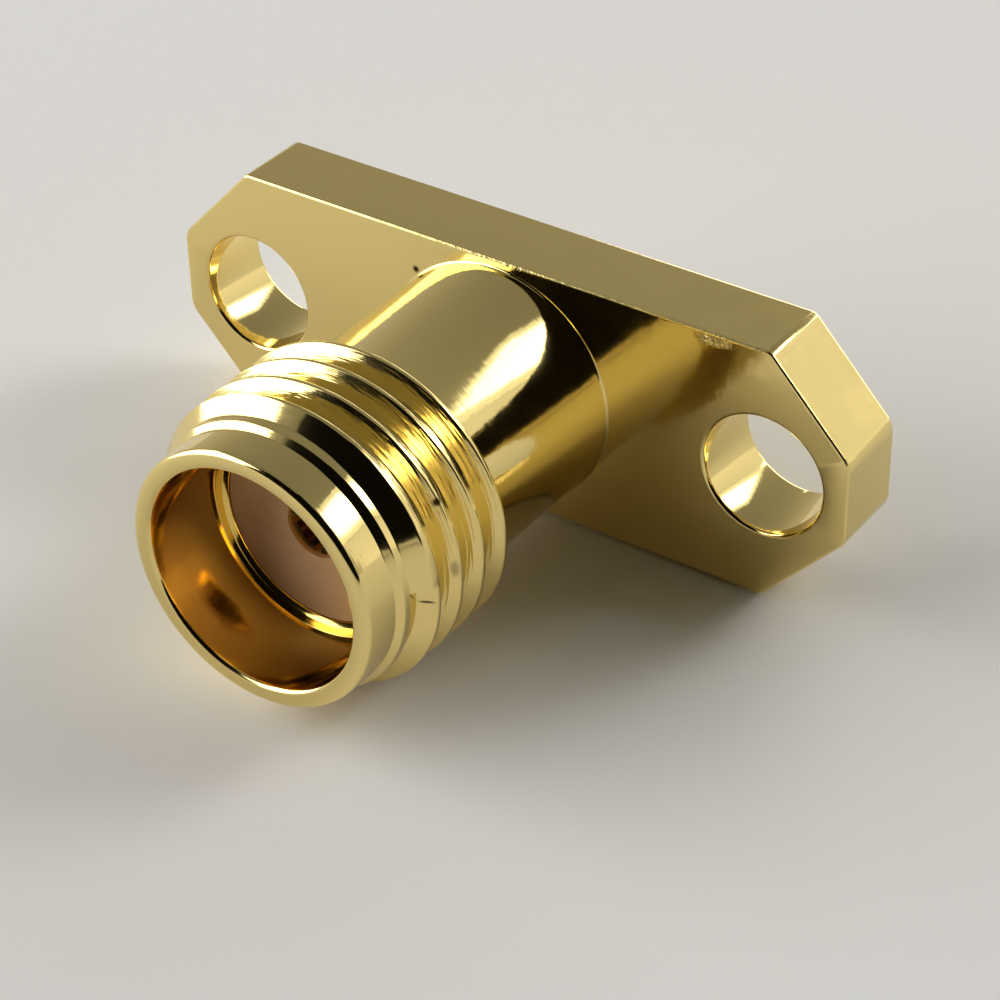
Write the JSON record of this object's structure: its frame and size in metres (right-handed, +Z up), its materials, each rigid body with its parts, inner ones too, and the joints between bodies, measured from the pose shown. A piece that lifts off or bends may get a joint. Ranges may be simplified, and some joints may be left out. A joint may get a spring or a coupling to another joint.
{
  "type": "sma panel jack",
  "caption": "Coaxial panel jack: threaded barrel with a plain nose and a spring socket, on a long octagonal flange with fixing holes and a solder post behind.",
  "frame": {"origin": "centre of the flange's mounting face, on the jack's axis", "axes": "+X along the flange through its two holes, +Y out of the mounting face into the panel, so -Y points out of the jack's mouth, +Z up across the flange"},
  "size_m": [0.016, 0.0121, 0.0064],
  "materials": {
    "body": "turned and milled, gold plated, bright with fine tool marks",
    "insulator": "turned PTFE, satin",
    "centre_contact": "turned, slotted, gold plated"
  },
  "bodies": {
    "root": {"body": "body", "insulator": "insulator", "centre_contact": "centre_contact"}
  },
  "joints": []
}
